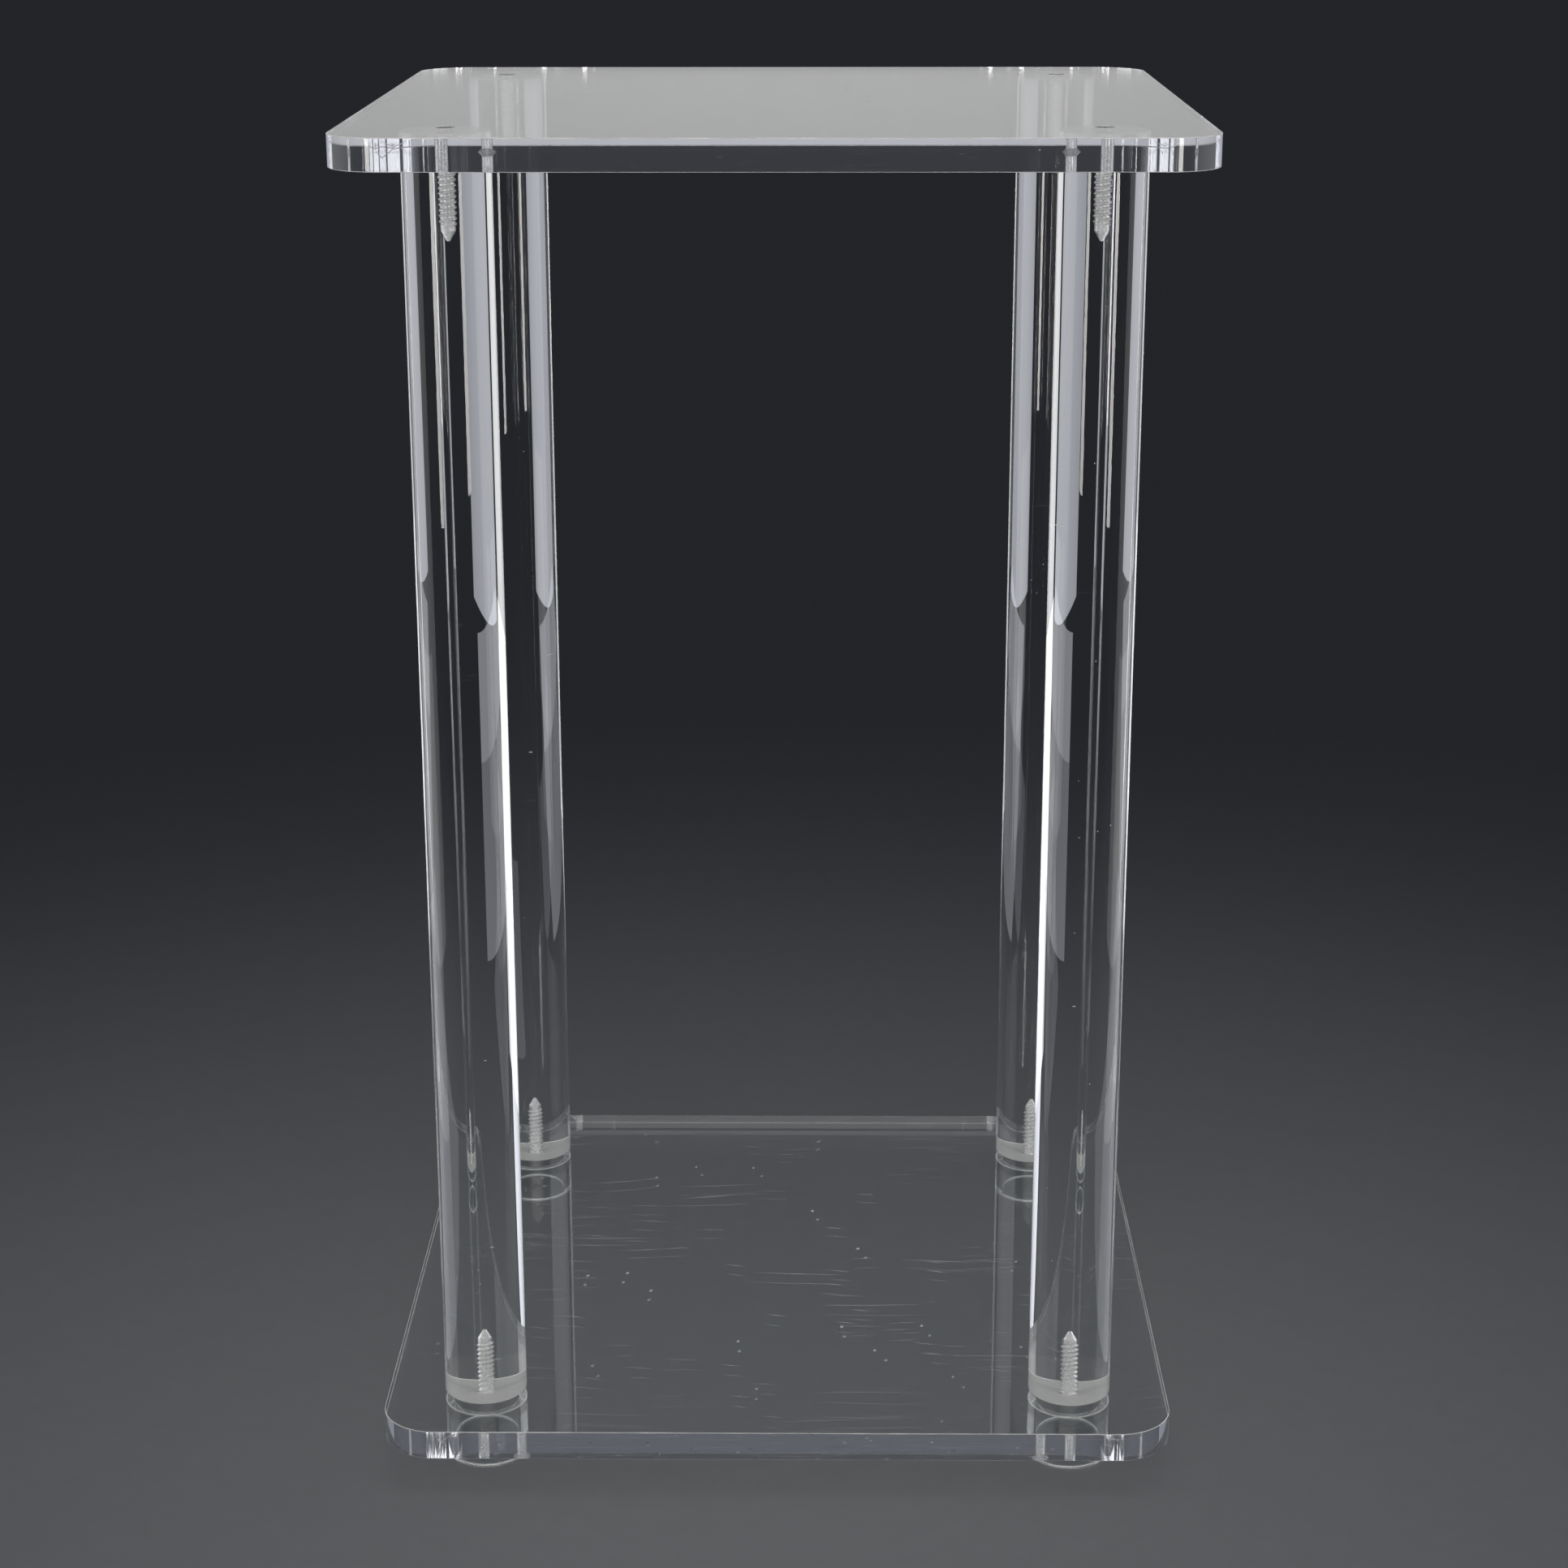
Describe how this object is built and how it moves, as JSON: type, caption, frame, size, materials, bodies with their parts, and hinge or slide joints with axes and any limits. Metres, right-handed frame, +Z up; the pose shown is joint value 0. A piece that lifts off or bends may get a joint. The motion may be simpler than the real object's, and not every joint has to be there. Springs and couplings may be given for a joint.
{
  "type": "lectern stand",
  "caption": "Open clear acrylic lectern stand: a square base plate on ring feet and a square top plate joined by solid round posts with countersunk screws.",
  "frame": {"origin": "on the floor under the middle of the stand", "axes": "+Z up, +X to the right as seen from the front, front towards -Y"},
  "size_m": [0.48, 0.48, 0.806],
  "materials": {
    "plate_acrylic": "clear cast acrylic sheet, polished edges, fine scratches",
    "post_acrylic": "clear solid acrylic rod, polished side, matt sawn ends",
    "foot_acrylic": "clear acrylic tube ring, polished ends",
    "screw_steel": "bright zinc plated steel screw"
  },
  "bodies": {
    "root": {"top_plate": "plate_acrylic", "base_plate": "plate_acrylic", "post_front_left": "post_acrylic", "post_front_right": "post_acrylic", "post_back_left": "post_acrylic", "post_back_right": "post_acrylic", "top_screw_front_left": "screw_steel", "top_screw_front_right": "screw_steel", "top_screw_back_left": "screw_steel", "top_screw_back_right": "screw_steel", "base_screw_front_left": "screw_steel", "base_screw_front_right": "screw_steel", "base_screw_back_left": "screw_steel", "base_screw_back_right": "screw_steel", "foot_front_left": "foot_acrylic", "foot_front_right": "foot_acrylic", "foot_back_left": "foot_acrylic", "foot_back_right": "foot_acrylic"}
  },
  "joints": []
}
